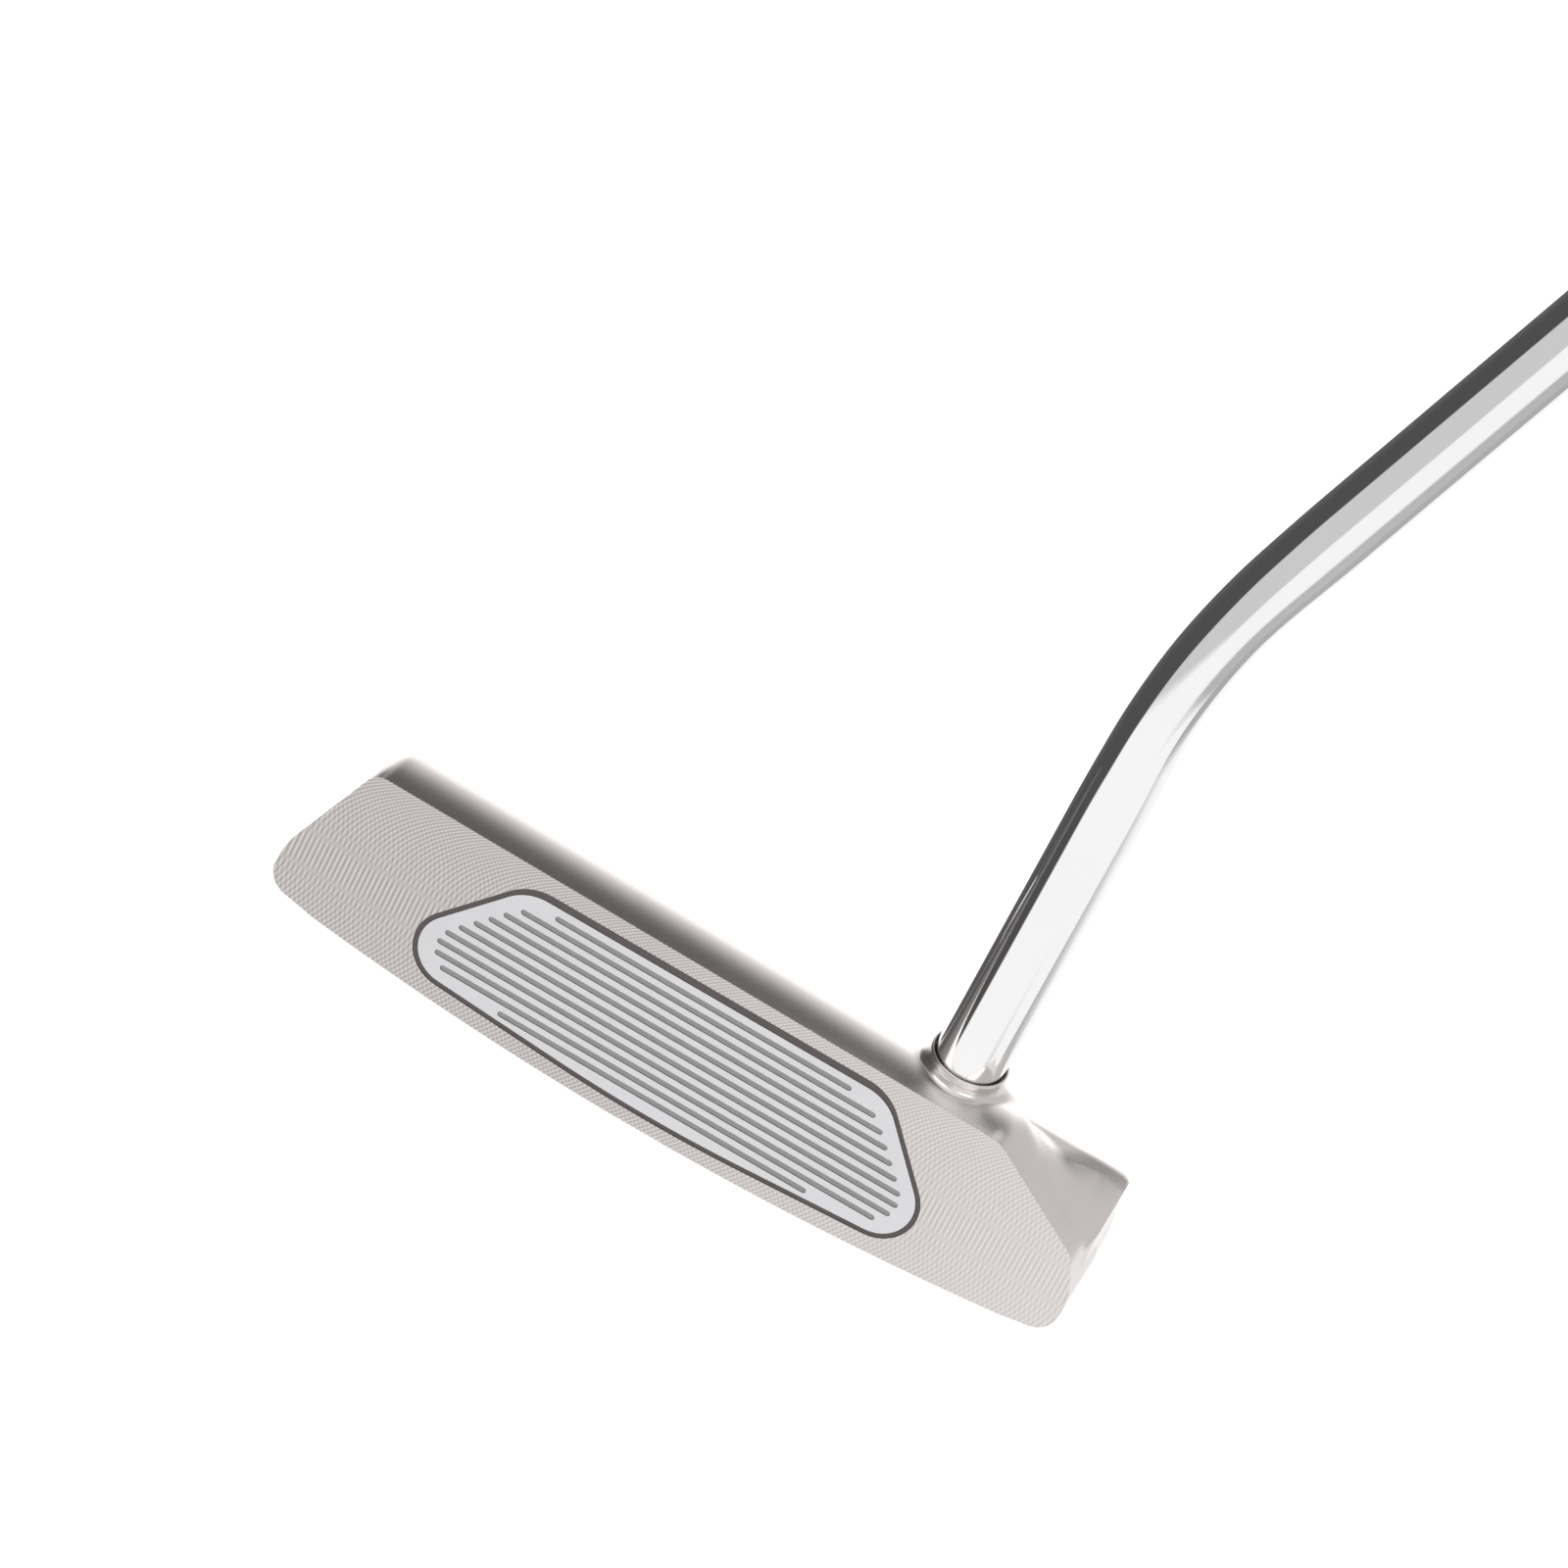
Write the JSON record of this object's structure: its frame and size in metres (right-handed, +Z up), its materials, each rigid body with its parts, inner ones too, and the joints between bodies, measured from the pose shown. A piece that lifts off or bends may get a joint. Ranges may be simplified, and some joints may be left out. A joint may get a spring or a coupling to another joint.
{
  "type": "blade putter",
  "caption": "Heel-shafted blade golf putter with a slotted metal face insert, single-bend stepped steel shaft, sole weights and a flat-fronted grip.",
  "frame": {"origin": "middle of the flat on the sole, on the ground, with the club at address", "axes": "+Z up, -X towards the toe, +X towards the heel and the player, -Y the way the strike face looks"},
  "size_m": [0.3447, 0.0389, 0.8282],
  "materials": {
    "head_steel": "fine bead blast with a milled face",
    "insert_aluminium": "satin anodised",
    "insert_polymer": "matte",
    "insert_border": "matte",
    "adhesive": "cured",
    "weight_metal": "turned",
    "seal_rubber": "smooth",
    "line_paint": "enamel fill",
    "shaft_chrome": "polished",
    "tape": "paper",
    "grip_foam": "foamed",
    "grip_rubber": "pebbled",
    "cap_rubber": "moulded"
  },
  "bodies": {
    "root": {"head_body": "head_steel", "insert_plate": "insert_aluminium", "insert_core": "insert_polymer", "insert_ring": "insert_border", "insert_bond_film": "adhesive", "toe_sole_weight": "weight_metal", "heel_sole_weight": "weight_metal", "toe_weight_seal": "seal_rubber", "heel_weight_seal": "seal_rubber", "sight_line_paint": "line_paint", "hosel_bond": "adhesive", "shaft": "shaft_chrome", "grip_tape": "tape", "grip_underlisting": "grip_foam", "grip_skin": "grip_rubber", "grip_cap": "cap_rubber"}
  },
  "joints": []
}
